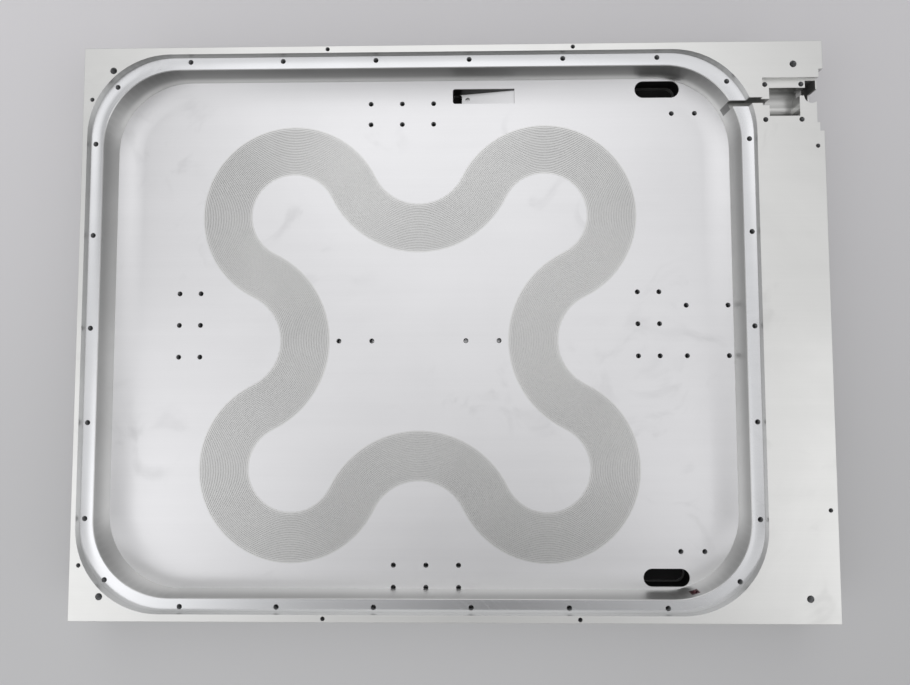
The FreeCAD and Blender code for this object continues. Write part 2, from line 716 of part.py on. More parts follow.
def drill_holes(body):
    """Tapped holes of the lid, the rim, the cooled parts and the connector clamp."""
    bore = S["small_bore"]
    drill(body, "ledge_holes", LEDGE, ledge_holes(), bore, S["lid_hole_depth"])
    drill(body, "rim_holes", TOP, rim_holes(), S["rim_bore"], S["lid_hole_depth"])
    drill(body, "floor_holes", FLOOR, floor_holes(), bore, S["floor_hole_depth"])
    drill(body, "seat_holes", SEAT, seat_holes(), bore, S["seat_hole_depth"])
    drill(body, "corner_holes", TOP, corner_holes(), S["corner_bore"])


def mill_back(body):
    """The rebate of the cover plate, and the coolant ports in the right side."""
    rebate = new_sketch(body, "cover_rebate")
    draw_rounded(rebate, COVER_LEFT, COVER_LOW, COVER_RIGHT, COVER_HIGH, S["cover_radius"])
    cut_pocket(body, rebate, S["cover_thickness"], upwards=True)
    mill_channel(body)

    inwards = FreeCAD.Rotation(vector(0, 1, 0), -90)
    for name, feed in zip(("port_a", "port_b"), FEEDS):
        mouth = (RIGHT + 1, feed, PORT_HEIGHT)
        bore_along(body, name, S["port_bore"] / 2, S["port_depth"] + 1, mouth, inwards)
        bore_along(body, f"{name}_passage", S["passage_drill"] / 2, S["passage_end"] + 1, mouth, inwards)


def make_cold_plate_body():
    body = doc.addObject("PartDesign::Body", "cold_plate_body")
    mill_slab(body)
    mill_track(body)
    mill_slots(body)
    mill_connector_seat(body)
    mill_back(body)
    drill_holes(body)
    return body


def make_channel_cover():
    """The plate that closes the channel, flush with the back face."""
    body = doc.addObject("PartDesign::Body", "channel_cover")
    outline = new_sketch(body, "cover_outline")
    gap = S["cover_gap"]
    draw_rounded(outline, COVER_LEFT + gap, COVER_LOW + gap, COVER_RIGHT - gap, COVER_HIGH - gap,
                 S["cover_radius"] - gap)
    pad = body.newObject("PartDesign::Pad", "cover_plate")
    pad.Profile = outline
    bind(pad, "Length", S["cover_thickness"])
    doc.recompute()
    return body


def check_document(parts):
    for thing in doc.Objects:
        if any(word in ("Invalid", "Error") for word in thing.State):
            raise RuntimeError(f"{thing.Name} is {thing.State}")
    for part in parts:
        shape = part.Shape
        if shape.isNull() or not shape.isValid() or len(shape.Solids) != 1:
            raise RuntimeError(f"{part.Label} is not one sound solid")


def main():
    parts = [make_cold_plate_body(), make_channel_cover()]
    doc.recompute()
    check_document(parts)
    os.makedirs("parts", exist_ok=True)
    for part in parts:
        part.Shape.exportStep(os.path.join("parts", f"{part.Label}.step"))
        box = part.Shape.BoundBox
        size = f"{box.XLength:.2f} x {box.YLength:.2f} x {box.ZLength:.2f} mm"
        print(part.Label, size, f"{part.Shape.Volume / 1000:.1f} cm3", len(part.Shape.Faces), "faces")


main()
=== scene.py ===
import json
import math
from types import SimpleNamespace

import bpy
from mathutils import Euler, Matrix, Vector


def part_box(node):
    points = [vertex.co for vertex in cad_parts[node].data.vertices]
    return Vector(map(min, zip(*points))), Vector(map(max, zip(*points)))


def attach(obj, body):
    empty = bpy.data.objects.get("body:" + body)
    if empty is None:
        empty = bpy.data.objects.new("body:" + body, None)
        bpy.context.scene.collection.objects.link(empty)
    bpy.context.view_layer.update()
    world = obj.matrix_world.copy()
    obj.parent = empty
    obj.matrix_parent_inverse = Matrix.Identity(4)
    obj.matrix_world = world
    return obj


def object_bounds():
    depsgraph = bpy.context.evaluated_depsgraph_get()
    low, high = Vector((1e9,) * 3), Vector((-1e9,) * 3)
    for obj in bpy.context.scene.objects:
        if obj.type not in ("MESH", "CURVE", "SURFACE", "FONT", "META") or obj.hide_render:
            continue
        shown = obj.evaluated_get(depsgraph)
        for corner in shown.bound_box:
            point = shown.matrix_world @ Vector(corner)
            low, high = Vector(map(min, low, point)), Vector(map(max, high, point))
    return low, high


# Looks of a milled aluminium cold plate: bright top faces with faint cutter
# marks, a wavy band of fine fibre grooves, threads in the tapped holes and ports.

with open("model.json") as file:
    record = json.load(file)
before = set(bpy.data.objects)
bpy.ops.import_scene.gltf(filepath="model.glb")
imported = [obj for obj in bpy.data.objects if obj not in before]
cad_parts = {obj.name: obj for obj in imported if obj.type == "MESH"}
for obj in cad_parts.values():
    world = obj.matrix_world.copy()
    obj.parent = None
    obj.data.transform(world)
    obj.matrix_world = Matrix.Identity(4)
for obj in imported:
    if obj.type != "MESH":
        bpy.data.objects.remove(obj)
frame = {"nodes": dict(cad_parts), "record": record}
cad_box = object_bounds()
MM = 0.001
mounts = {mount["name"]: mount for mount in frame["record"]["mounts"]}
openings = {opening["name"]: opening["box_m"] for opening in frame["record"]["physics"]["openings"]}

# ---- sizes in millimetres, with levels and places that the solids also have ----


def mount_place(name):
    return Vector(mounts[name]["pos_m"]) / MM


# mounts of tapped holes are placed this far below the face that the holes open in
MOUNT_DROP = 1.0
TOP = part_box("cold_plate_body")[1][2] / MM
LEDGE = mount_place("lid_ledge").z
FLOOR = mount_place("left_group").z + MOUNT_DROP
SEAT = mount_place("clamp_holes").z + MOUNT_DROP
SEAT_X, SEAT_Y = mount_place("clamp_holes")[:2]

POCKET_X = [corner[0] / MM for corner in openings["pocket_ends"]]
POCKET_Y = [corner[1] / MM for corner in openings["pocket_sides"]]
SLOPE_LOW, SLOPE_HIGH = (list(Vector(corner) / MM) for corner in openings["fibre_slope"])
POCKET_RADIUS = 44.0
LEDGE_WIDTH = 7.5
REBATE_X = (POCKET_X[0] - LEDGE_WIDTH, POCKET_X[1] + LEDGE_WIDTH)
REBATE_Y = (POCKET_Y[0] - LEDGE_WIDTH, POCKET_Y[1] + LEDGE_WIDTH)
REBATE_RADIUS = 48.0
COVER_THICKNESS = 3.0

# boxes round the openings, as a low and a high corner, for painted shade and colour
BELOW_FLOOR = ((POCKET_X[0], POCKET_Y[0], COVER_THICKNESS + 0.2), (POCKET_X[1], POCKET_Y[1], FLOOR - 0.6))
FIBRE_SLOPE = ((*SLOPE_LOW[:2], COVER_THICKNESS), SLOPE_HIGH)
VENT = ((136, -166, 19), (140.6, -149, 24.6))
LEAD_GROOVE = ((150, SEAT_Y - 1.9, 15), (SEAT_X - 7.5, SEAT_Y + 1.9, TOP - 0.3))
KEYWAY = ((SEAT_X + 9.5, SEAT_Y - 1, 10), (SEAT_X + 18.5, SEAT_Y + 13, SEAT - 0.3))
CRADLE = ((SEAT_X - 8.2, SEAT_Y - 9, 15), (SEAT_X + 9.7, SEAT_Y + 9, SEAT - 0.15))

# The track is a closed wave: four round lobes joined by four bays that curve inwards.
TRACK_MIDDLE = (-19.5, -7.0)
LOBE_OFFSET = 76.3
LOBE_RADIUS = 40.5
BAY_OFFSET = 112.7
TRACK_STEP_DEGREES = 3.0
TRACK_WIDTH = 30.0
TRACK_DEPTH = 0.4
TRACK_SIDE_GAP = 0.02
TRACK_LIFT = 0.01
GROOVE_COUNT = 29
GROOVE_WIDTH = 0.42
GROOVE_DEPTH = 0.3
# share of a groove's width that is flat at its foot
GROOVE_FLAT = 0.45
# width of the painted highlight along each edge of the band
EDGE_HIGHLIGHT_WIDTH = 2.6

THREAD_SIDES = 14
# half the width of a ridge at its root, as a share of the pitch
RIDGE_HALF = 0.44
MOUTH_GAP = 0.28
# the thread's depth in a hole of this radius; it grows with the radius
SMALL_RADIUS = 1.5
SMALL_DEPTH = 0.25
SMALL_PITCH = 0.5
BLIND_TURNS = 9
# the corner holes are wider than this and go right through
THROUGH_RADIUS = 1.9
THROUGH_TURNS = 58
PORT_PITCH = 1.337
PORT_THREAD_DEPTH = 0.7
PORT_TURNS = 9

# ---- tones and colours ----

RIM_COLOUR = (0.99, 0.99, 0.97, 1)
FLOOR_COLOUR = (0.985, 0.983, 0.995, 1)
LEDGE_COLOUR = (0.975, 0.983, 1.0, 1)
WALL_COLOUR = (0.95, 0.952, 0.935, 1)
VENT_COLOUR = (0.9, 0.45, 0.5, 1)
COVER_COLOUR = (0.97, 0.98, 1.0, 1)
TRACK_COLOUR = (0.99, 0.99, 0.98, 1)
THREAD_COLOUR = (0.95, 0.97, 1.0, 1)
# painted light on the ground: darker at the front, lighter at the back
GROUND_NEAR_SHADE = (0.58, 0.58, 0.585, 1)
GROUND_FAR_LIGHT = (0.72, 0.71, 0.725, 1)
SKY_COLOUR = (1.0, 1.0, 1.01, 1)

SLAB_TONE = 0.84
COVER_TONE = 0.78
TRACK_TONE = 0.65
# the threads are painted dark, as painted shade inside the holes
THREAD_SHADE_TONE = 0.12
# what the painted highlight along the band's edges adds
EDGE_HIGHLIGHT_TONE = 0.1
GRAIN = 0.08
COVER_MARKS = 0.1
# what the marks add and the stains and smudges take
MARK_TONE = 0.06
STAIN_ON_RIM, STAIN_ON_FLOOR = 0.06, 0.03
SMUDGE_TONE = 0.06
SMUDGE_ROUGHNESS = 0.1
# the share of the tone that is left in each area; all shares but the ledge's are painted shade, lighter at
# the foot of the pocket walls and darker at their head
LEDGE_SHARE = 0.95
OUTER_WALL_SHADE_SHARE = 0.8
POCKET_WALL_FOOT_LIGHT, POCKET_WALL_HEAD_SHADE = 0.9, 0.52
FAR_WALL_SHADE_SHARE = 0.6
DEEP_SLOT_SHADE_SHARE = 0.1
VENT_SHADE_SHARE = 0.2
NARROW_SHADE_SHARE = 0.38
# how much of the tone the cradle's steep sides lose to painted shade
UPPER_FLANK_SHADE, BACK_FLANK_SHADE, LOWER_FLANK_SHADE = 0.36, 0.2, 0.5

RIM_ROUGHNESS = 0.4
LEDGE_ROUGHNESS = 0.2
FLOOR_ROUGHNESS = 0.36
WALL_ROUGHNESS = 0.48
CRADLE_ROUGHNESS = 0.3
COVER_ROUGHNESS = 0.34
TRACK_ROUGHNESS = 0.29
THREAD_ROUGHNESS = 0.45
GROUND_ROUGHNESS = 0.9

# width in millimetres and slope at the wall of the soft upturns
FLOOR_COVE = (16.0, 0.3)
LEDGE_COVE = (6.0, 0.25)
# depth of the fine marks, in metres
MARK_DEPTH = 0.00002
MARK_STRENGTH = 0.5


# ---- shader graphs ----


class Graph:
    """Builds a node tree; most methods add nodes and return the last one's output."""

    def __init__(self, tree):
        self.tree = tree

    def node(self, kind, **settings):
        made = self.tree.nodes.new(kind)
        for name, value in settings.items():
            setattr(made, name, value)
        return made

    def feed(self, socket, value):
        if isinstance(value, bpy.types.NodeSocket):
            self.tree.links.new(value, socket)
        elif value is not None:
            socket.default_value = value

    def math(self, operation, *values, clamp=False):
        made = self.node("ShaderNodeMath", operation=operation, use_clamp=clamp)
        for socket, value in zip(made.inputs, values):
            self.feed(socket, value)
        return made.outputs[0]

    def vector(self, operation, *values):
        made = self.node("ShaderNodeVectorMath", operation=operation)
        for socket, value in zip(made.inputs, values):
            self.feed(socket, value)
        return made.outputs["Value" if operation == "LENGTH" else "Vector"]

    def times(self, product, *others):
        """The product of all values."""
        for other in others:
            product = self.math("MULTIPLY", product, other)
        return product

    def plus(self, value, source, share):
        """A value with a share of another one added."""
        return self.math("ADD", value, self.math("MULTIPLY", source, share))

    def opposite(self, mask):
        """0 where the mask is 1, and 1 where it is 0."""
        return self.math("SUBTRACT", 1.0, mask)

    def gap(self, value, middle):
        """How far a value is from a middle, without sign."""
        return self.math("ABSOLUTE", self.math("SUBTRACT", value, middle))

    def split(self, vector):
        made = self.node("ShaderNodeSeparateXYZ")
        self.feed(made.inputs[0], vector)
        return made.outputs

    def join(self, x, y, z):
        made = self.node("ShaderNodeCombineXYZ")
        for socket, value in zip(made.inputs, (x, y, z)):
            self.feed(socket, value)
        return made.outputs[0]

    def span(self, value, low, high, to_low=0.0, to_high=1.0):
        """Maps low..high smoothly to a new range."""
        made = self.node("ShaderNodeMapRange", interpolation_type="SMOOTHSTEP")
        for socket, number in zip(made.inputs, (value, low, high, to_low, to_high)):
            self.feed(socket, number)
        return made.outputs[0]

    def span_mm(self, value, low, high, to_low=0.0, to_high=1.0):
        """Maps a length smoothly, with low and high in millimetres."""
        return self.span(value, low * MM, high * MM, to_low, to_high)

    def noise(self, vector, scale, detail=2.0, roughness=0.5, stretch=None, warp=0.0):
        if stretch is not None:
            vector = self.vector("MULTIPLY", vector, stretch)
        made = self.node("ShaderNodeTexNoise")
        self.feed(made.inputs["Vector"], vector)
        self.feed(made.inputs["Scale"], scale)
        self.feed(made.inputs["Detail"], detail)
        self.feed(made.inputs["Roughness"], roughness)
        self.feed(made.inputs["Distortion"], warp)
        return made.outputs[0]

    def mix(self, factor, a, b):
        """Blends two colours."""
        made = self.node("ShaderNodeMix", data_type="RGBA")
        self.feed(made.inputs[0], factor)
        self.feed(made.inputs[6], a)
        self.feed(made.inputs[7], b)
        return made.outputs[2]

    def mix_vector(self, factor, a, b):
        """Blends two directions."""
        made = self.node("ShaderNodeMix", data_type="VECTOR")
        self.feed(made.inputs[0], factor)
        self.feed(made.inputs[4], a)
        self.feed(made.inputs[5], b)
        return self.vector("NORMALIZE", made.outputs[1])

    def blend(self, factor, a, b):
        """Blends two numbers."""
        made = self.node("ShaderNodeMix")
        self.feed(made.inputs[0], factor)
        self.feed(made.inputs[2], a)
        self.feed(made.inputs[3], b)
        return made.outputs[0]

    def dim(self, tone, mask, share):
        """A tone that falls to a share of itself where the mask is 1."""
        return self.math("MULTIPLY", tone, self.blend(mask, 1.0, share))

    def scale_colour(self, colour, factor):
        made = self.node("ShaderNodeMix", data_type="RGBA", blend_type="MULTIPLY")
        made.inputs[0].default_value = 1.0
        self.feed(made.inputs[6], colour)
        grey = self.node("ShaderNodeCombineColor")
        for socket in grey.inputs:
            self.feed(socket, factor)
        self.feed(made.inputs[7], grey.outputs[0])
        return made.outputs[2]

    def bump(self, height, distance, strength=1.0, normal=None):
        made = self.node("ShaderNodeBump")
        self.feed(made.inputs["Height"], height)
        self.feed(made.inputs["Distance"], distance)
        self.feed(made.inputs["Strength"], strength)
        self.feed(made.inputs["Normal"], normal)
        return made.outputs[0]

    def group(self, tree, **values):
        made = self.node("ShaderNodeGroup", node_tree=tree)
        for name, value in values.items():
            self.feed(made.inputs[name], value)
        return made.outputs


def new_group(name, inputs, outputs):
    """An empty node group; inputs and outputs are (name, kind, default)."""
    tree = bpy.data.node_groups.new(name, "ShaderNodeTree")
    for direction, sockets in (("INPUT", inputs), ("OUTPUT", outputs)):
        for label, kind, default in sockets:
            socket = tree.interface.new_socket(label, in_out=direction, socket_type=kind)
            if default is not None:
                socket.default_value = default
    graph = Graph(tree)
    start = graph.node("NodeGroupInput")
    end = graph.node("NodeGroupOutput")
    return tree, graph, start.outputs, end.inputs


def make_cutter_marks():
    """Fine parallel marks along one direction, as an end mill leaves them."""
    tree, g, given, out = new_group(
        "cutter_marks",
        [("Vector", "NodeSocketVector", None), ("Along", "NodeSocketFloat", 6.0),
         ("Across", "NodeSocketFloat", 900.0)],
        [("Tone", "NodeSocketFloat", None), ("Height", "NodeSocketFloat", None)],
    )
    x, y, z = g.split(given["Vector"])
    place = g.join(g.math("MULTIPLY", x, given["Along"]), g.math("MULTIPLY", y, given["Across"]),
                   g.math("MULTIPLY", z, given["Across"]))
    fine = g.noise(place, 1.0, detail=2.0, roughness=0.6)
    broad = g.noise(place, 1.0, detail=1.0, stretch=(1.0, 0.12, 0.12))
    g.feed(out["Tone"], g.plus(g.math("MULTIPLY", fine, 0.4), broad, 0.6))
    g.feed(out["Height"], fine)
    return tree


def make_handling_marks():
    """Soft stains, finger smudges and stray hairline scratches."""
    tree, g, given, out = new_group(
        "handling_marks",
        [("Vector", "NodeSocketVector", None)],
        [("Stain", "NodeSocketFloat", None), ("Smudge", "NodeSocketFloat", None),
         ("Scratch", "NodeSocketFloat", None)],
    )
    place = given["Vector"]
    stain = g.noise(place, 9.0, detail=4.0, roughness=0.55, warp=0.6)
    g.feed(out["Stain"], g.span(stain, 0.35, 0.7))
    patch = g.noise(place, 26.0, detail=3.0, roughness=0.6, warp=1.2)
    where = g.noise(place, 11.0, detail=1.0)
    g.feed(out["Smudge"], g.times(g.span(patch, 0.55, 0.72), g.span(where, 0.5, 0.62)))
    turned = g.node("ShaderNodeVectorRotate", rotation_type="Z_AXIS")
    g.feed(turned.inputs["Vector"], place)
    turned.inputs["Angle"].default_value = 0.7
    line = g.noise(turned.outputs[0], 260.0, detail=0.0, stretch=(0.025, 1.0, 1.0), warp=0.1)
    thin = g.opposite(g.span(g.gap(line, 0.5), 0.0, 0.008))
    lone = g.noise(place, 17.0, detail=0.0)
    g.feed(out["Scratch"], g.times(thin, g.span(lone, 0.6, 0.7)))
    return tree


CUTTER_MARKS = make_cutter_marks()
HANDLING_MARKS = make_handling_marks()


def new_material(name):
    material = bpy.data.materials.new(name)
    material.use_nodes = True
    graph = Graph(material.node_tree)
    shader = material.node_tree.nodes["Principled BSDF"]
    return material, graph, shader.inputs


def object_place(g):
    return g.node("ShaderNodeTexCoord").outputs["Object"]


def facing_up(g):
    """1 on faces that look along +Z, 0 on walls."""
    normal = g.node("ShaderNodeNewGeometry").outputs["True Normal"]
    return g.span(g.split(normal)[2], 0.6, 0.9)


def box_mask(g, place, low, high, soft=0.25):
    """1 inside a box given in millimetres, fading over its border."""
    mask = None
    for axis, (start, end) in zip(g.split(place), zip(low, high)):
        middle, half = (start + end) / 2 * MM, (end - start) / 2 * MM
        inside = g.span(g.gap(axis, middle), half + soft * MM, half - soft * MM)
        mask = inside if mask is None else g.times(mask, inside)
    return mask


def wall_distance(g, place, along_x, along_y, radius):
    """How far a point lies inside a rounded outline given in millimetres, in metres."""
    beyond = []
    for axis, (start, end) in zip(g.split(place), (along_x, along_y)):
        away = g.gap(axis, (start + end) / 2 * MM)
        beyond.append(g.math("SUBTRACT", away, ((end - start) / 2 - radius) * MM))
    corner = g.join(g.math("MAXIMUM", beyond[0], 0.0), g.math("MAXIMUM", beyond[1], 0.0), 0.0)
    straight = g.math("MINIMUM", g.math("MAXIMUM", *beyond), 0.0)
    reach = g.math("ADD", g.vector("LENGTH", corner), straight)
    return g.math("SUBTRACT", radius * MM, reach)


def cove(g, distance, width, slope):
    """Height of a soft upturn towards a wall, in metres; the slope is that at the wall."""
    near = g.math("SUBTRACT", 1.0, g.math("DIVIDE", distance, width * MM), clamp=True)
    return g.times(near, near, slope * width / 2 * MM)


def cradle_flank_shade(g, offset):
    """Painted shade on the steep sides of the cradle; offset is from its middle, along y."""
    upper = g.span_mm(offset, -0.8, 0.4, 0.0, UPPER_FLANK_SHADE)
    back = g.span_mm(offset, 6.0, 7.2, 0.0, BACK_FLANK_SHADE)
    lower = g.times(g.span_mm(offset, -3.6, -4.4, 0.0, LOWER_FLANK_SHADE), g.span_mm(offset, -7.2, -6.4))
    return g.math("ADD", g.math("ADD", upper, back), lower)


def slab_areas(g, place):
    """Masks for the areas of the slab, and how far in from its walls a point lies."""
    y, z = g.split(place)[1:]
    normal = g.node("ShaderNodeNewGeometry").outputs["Normal"]
    up = facing_up(g)
    wall = g.opposite(up)
    from_wall = wall_distance(g, place, POCKET_X, POCKET_Y, POCKET_RADIUS)
    from_rebate = wall_distance(g, place, REBATE_X, REBATE_Y, REBATE_RADIUS)
    on_floor = g.span_mm(z, FLOOR + 1.5, FLOOR + 0.5)
    on_ledge = g.times(g.span_mm(z, LEDGE - 1.5, LEDGE - 0.5), g.span_mm(z, LEDGE + 0.9, LEDGE + 0.3))
    in_pocket = g.times(g.span_mm(from_wall, -0.6, -0.1), g.span_mm(z, LEDGE + 0.2, LEDGE - 0.2))
    # painted shade on the walls inside the rebate that face the front
    far_wall_shade = g.times(g.span(g.split(normal)[1], -0.2, -0.8), g.span_mm(from_rebate, -0.6, -0.1),
                       g.span_mm(z, FLOOR + 2, FLOOR + 7), wall)

    slope = box_mask(g, place, *FIBRE_SLOPE, soft=0.5)
    # painted shade: the walls below the pocket floor, in the slots and holes, are darkened, except on the
    # fibre slope
    deep_slot_shade = g.times(box_mask(g, place, *BELOW_FLOOR), g.opposite(slope), wall)
    # the vent's box takes a reddish tint, and its walls get painted shade
    vent = box_mask(g, place, *VENT)
    cradle = box_mask(g, place, *CRADLE)
    # painted shade on the cradle's steep sides
    flank_shade = g.times(cradle, cradle_flank_shade(g, g.math("SUBTRACT", y, SEAT_Y * MM)))
    # painted shade in the lead groove and the keyway; on their up-facing floors it grows along the keyway
    narrow_shade = g.math("MAXIMUM", box_mask(g, place, *LEAD_GROOVE), box_mask(g, place, *KEYWAY))
    along_keyway = g.span_mm(y, SEAT_Y + 1, SEAT_Y + 6, 0.75, 1.15)
    narrow_shade = g.dim(narrow_shade, up, along_keyway)
    # the run of floor and ledge nearest the front keeps its flat look
    away_from_front = g.span_mm(y, -150, -120)
    bend = g.times(g.math("MAXIMUM", on_floor, on_ledge), up, away_from_front)
    return SimpleNamespace(
        height=z, normal=normal, up=up, wall=wall, from_wall=from_wall, from_rebate=from_rebate,
        on_floor=on_floor, on_ledge=on_ledge, in_pocket=in_pocket, far_wall_shade=far_wall_shade, deep_slot_shade=deep_slot_shade,
        vent=vent, cradle=cradle, flank_shade=flank_shade, narrow_shade=narrow_shade, bend=bend,
    )


def slab_tone(g, at, marks, handling):
    tone = g.plus(SLAB_TONE, marks["Tone"], MARK_TONE)
    tone = g.plus(tone, handling["Stain"], g.blend(at.on_floor, -STAIN_ON_RIM, -STAIN_ON_FLOOR))
    tone = g.plus(tone, handling["Smudge"], -SMUDGE_TONE)
    # painted shade on the walls, the deep slots, the vent, the narrow grooves and the cradle's sides; the
    # pocket walls are lighter at the foot and darker at the head
    wall_light_climb = g.span_mm(at.height, FLOOR + 0.5, LEDGE - 2, POCKET_WALL_FOOT_LIGHT, POCKET_WALL_HEAD_SHADE)
    for mask, share in (
        (at.on_ledge, LEDGE_SHARE),
        (at.wall, g.blend(at.in_pocket, OUTER_WALL_SHADE_SHARE, wall_light_climb)),
        (at.far_wall_shade, FAR_WALL_SHADE_SHARE),
        (at.deep_slot_shade, DEEP_SLOT_SHADE_SHARE),
        (g.times(at.vent, at.wall), VENT_SHADE_SHARE),
        (at.narrow_shade, NARROW_SHADE_SHARE),
        (at.flank_shade, 0.0),
    ):
        tone = g.dim(tone, mask, share)
    return tone


def slab_normal(g, at, marks, handling):
    """Soft upturns towards the walls, then fine marks and scratches."""
    upturn = g.math("ADD", cove(g, at.from_wall, *FLOOR_COVE), cove(g, at.from_rebate, *LEDGE_COVE))
    bent = g.mix_vector(at.bend, at.normal, g.bump(upturn, 1.0))
    height = g.plus(g.math("MULTIPLY", marks["Height"], 0.6), handling["Scratch"], -1.0)
    return g.bump(height, MARK_DEPTH, MARK_STRENGTH, bent)


def make_slab_material():
    material, g, shader = new_material("milled_aluminium")
    place = object_place(g)
    at = slab_areas(g, place)
    marks = g.group(CUTTER_MARKS, Vector=place)
    handling = g.group(HANDLING_MARKS, Vector=place)

    colour = g.mix(at.on_floor, RIM_COLOUR, FLOOR_COLOUR)
    colour = g.mix(at.on_ledge, colour, LEDGE_COLOUR)
    colour = g.mix(at.wall, colour, WALL_COLOUR)
    colour = g.mix(at.vent, colour, VENT_COLOUR)
    g.feed(shader["Base Color"], g.scale_colour(colour, slab_tone(g, at, marks, handling)))
    shader["Metallic"].default_value = 1.0

    rough = g.blend(at.on_ledge, RIM_ROUGHNESS, LEDGE_ROUGHNESS)
    rough = g.blend(at.on_floor, rough, FLOOR_ROUGHNESS)
    rough = g.plus(rough, handling["Smudge"], SMUDGE_ROUGHNESS)
    rough = g.blend(at.up, WALL_ROUGHNESS, rough)
    g.feed(shader["Roughness"], g.blend(at.cradle, rough, CRADLE_ROUGHNESS))
    g.feed(shader["Normal"], slab_normal(g, at, marks, handling))
    return material


def make_cover_material():
    material, g, shader = new_material("rolled_aluminium")
    place = object_place(g)
    marks = g.group(CUTTER_MARKS, Vector=place, Along=3.0, Across=700.0)
    handling = g.group(HANDLING_MARKS, Vector=place)
    tone = g.plus(COVER_TONE, marks["Tone"], COVER_MARKS)
    tone = g.plus(tone, handling["Stain"], -STAIN_ON_RIM)
    g.feed(shader["Base Color"], g.scale_colour(COVER_COLOUR, tone))
    shader["Metallic"].default_value = 1.0
    g.feed(shader["Roughness"], g.plus(COVER_ROUGHNESS, handling["Stain"], COVER_MARKS))
    g.feed(shader["Normal"], g.bump(marks["Height"], MARK_DEPTH, MARK_STRENGTH))
    return material


def make_track_material():
    material, g, shader = new_material("grooved_aluminium")
    place = object_place(g)
    handling = g.group(HANDLING_MARKS, Vector=place)
    fine = g.noise(place, 700.0, detail=2.0)
    tone = g.plus(TRACK_TONE, fine, GRAIN)
    tone = g.plus(tone, handling["Stain"], -0.04)
    # a painted highlight along the band's two edges
    painted_edge_highlight = g.node("ShaderNodeAttribute", attribute_name="painted_edge_highlight").outputs["Fac"]
    tone = g.plus(tone, painted_edge_highlight, EDGE_HIGHLIGHT_TONE)
    g.feed(shader["Base Color"], g.scale_colour(TRACK_COLOUR, tone))
    shader["Metallic"].default_value = 1.0
    g.feed(shader["Roughness"], g.plus(TRACK_ROUGHNESS, fine, GRAIN))
    return material


def make_thread_material():
    material, g, shader = new_material("cut_thread")
    fine = g.noise(object_place(g), 1500.0, detail=1.0)
    # dark tone: painted shade inside the holes
    g.feed(shader["Base Color"], g.scale_colour(THREAD_COLOUR, g.plus(THREAD_SHADE_TONE, fine, GRAIN)))
    shader["Metallic"].default_value = 1.0
    shader["Roughness"].default_value = THREAD_ROUGHNESS
    return material


# ---- pieces ----


def make_piece(name, vertices, faces, material):
    """A mesh in millimetres that rides with the plate."""
    mesh = bpy.data.meshes.new(name)
    mesh.from_pydata([Vector(v) * MM for v in vertices], [], faces)
    mesh.validate()
    mesh.materials.append(material)
    piece = bpy.data.objects.new(name, mesh)
    bpy.context.scene.collection.objects.link(piece)
    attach(piece, "root")
    return piece


def arc_frames(centre, radius, start, sweep, side):
    """Points along an arc, each with a direction: outwards, or to the centre if side is -1.

    Start and sweep are in degrees.
    """
    frames = []
    count = round(abs(sweep) / TRACK_STEP_DEGREES)
    for i in range(count):
        angle = math.radians(start + sweep * i / count)
        way = (math.cos(angle), math.sin(angle))
        point = [TRACK_MIDDLE[k] + centre[k] + radius * way[k] for k in range(2)]
        frames.append((point, (side * way[0], side * way[1])))
    return frames


def track_frames():
    """Points of the track's centre line and the outward direction at each."""
    a, d = LOBE_OFFSET, BAY_OFFSET
    bay_radius = math.hypot(a, d - a) - LOBE_RADIUS
    to_bay = math.degrees(math.atan2(a, d - a))
    frames = []
    for turn in range(4):
        start = turn * 90
        cos, sin = math.cos(math.radians(start)), math.sin(math.radians(start))
        lobe = (a * cos - a * sin, a * sin + a * cos)
        bay = (-d * sin, d * cos)
        frames += arc_frames(lobe, LOBE_RADIUS, start - to_bay, 90 + 2 * to_bay, 1)
        frames += arc_frames(bay, bay_radius, start + 270 + to_bay, -2 * to_bay, -1)
    return frames


def groove_profile():
    """(offset from the centre line, height) across the band: lands and grooves."""
    half = TRACK_WIDTH / 2 - TRACK_SIDE_GAP
    pitch = TRACK_WIDTH / (GROOVE_COUNT + 1)
    base = FLOOR - TRACK_DEPTH + TRACK_LIFT
    foot = FLOOR - GROOVE_DEPTH
    edge = GROOVE_WIDTH / 2
    flat = edge * GROOVE_FLAT
    profile = [(-half, base), (-half, FLOOR)]
    for i in range(GROOVE_COUNT):
        middle = (i - (GROOVE_COUNT - 1) / 2) * pitch
        profile += [(middle - edge, FLOOR), (middle - flat, foot)]
        profile += [(middle + flat, foot), (middle + edge, FLOOR)]
    return profile + [(half, FLOOR), (half, base)]


def make_track_grooves(material):
    profile = groove_profile()
    frames = track_frames()
    # one row of vertices across the band at each point, the last row joined to the first
    vertices = []
    for (cx, cy), (ux, uy) in frames:
        vertices += [(cx + ux * s, cy + uy * s, z) for s, z in profile]
    count, rows = len(profile), len(frames)
    faces = []
    for row in range(rows):
        here, there = row * count, (row + 1) % rows * count
        faces += [(here + i, here + i + 1, there + i + 1, there + i) for i in range(count - 1)]
    piece = make_piece("track_grooves", vertices, faces, material)
    # strength of the painted highlight near each edge of the band
    painted_edge_highlight = piece.data.attributes.new("painted_edge_highlight", "FLOAT", "POINT")
    edge = TRACK_WIDTH / 2 - EDGE_HIGHLIGHT_WIDTH
    for i, item in enumerate(painted_edge_highlight.data):
        item.value = max(0.0, (abs(profile[i % count][0]) - edge) / EDGE_HIGHLIGHT_WIDTH)


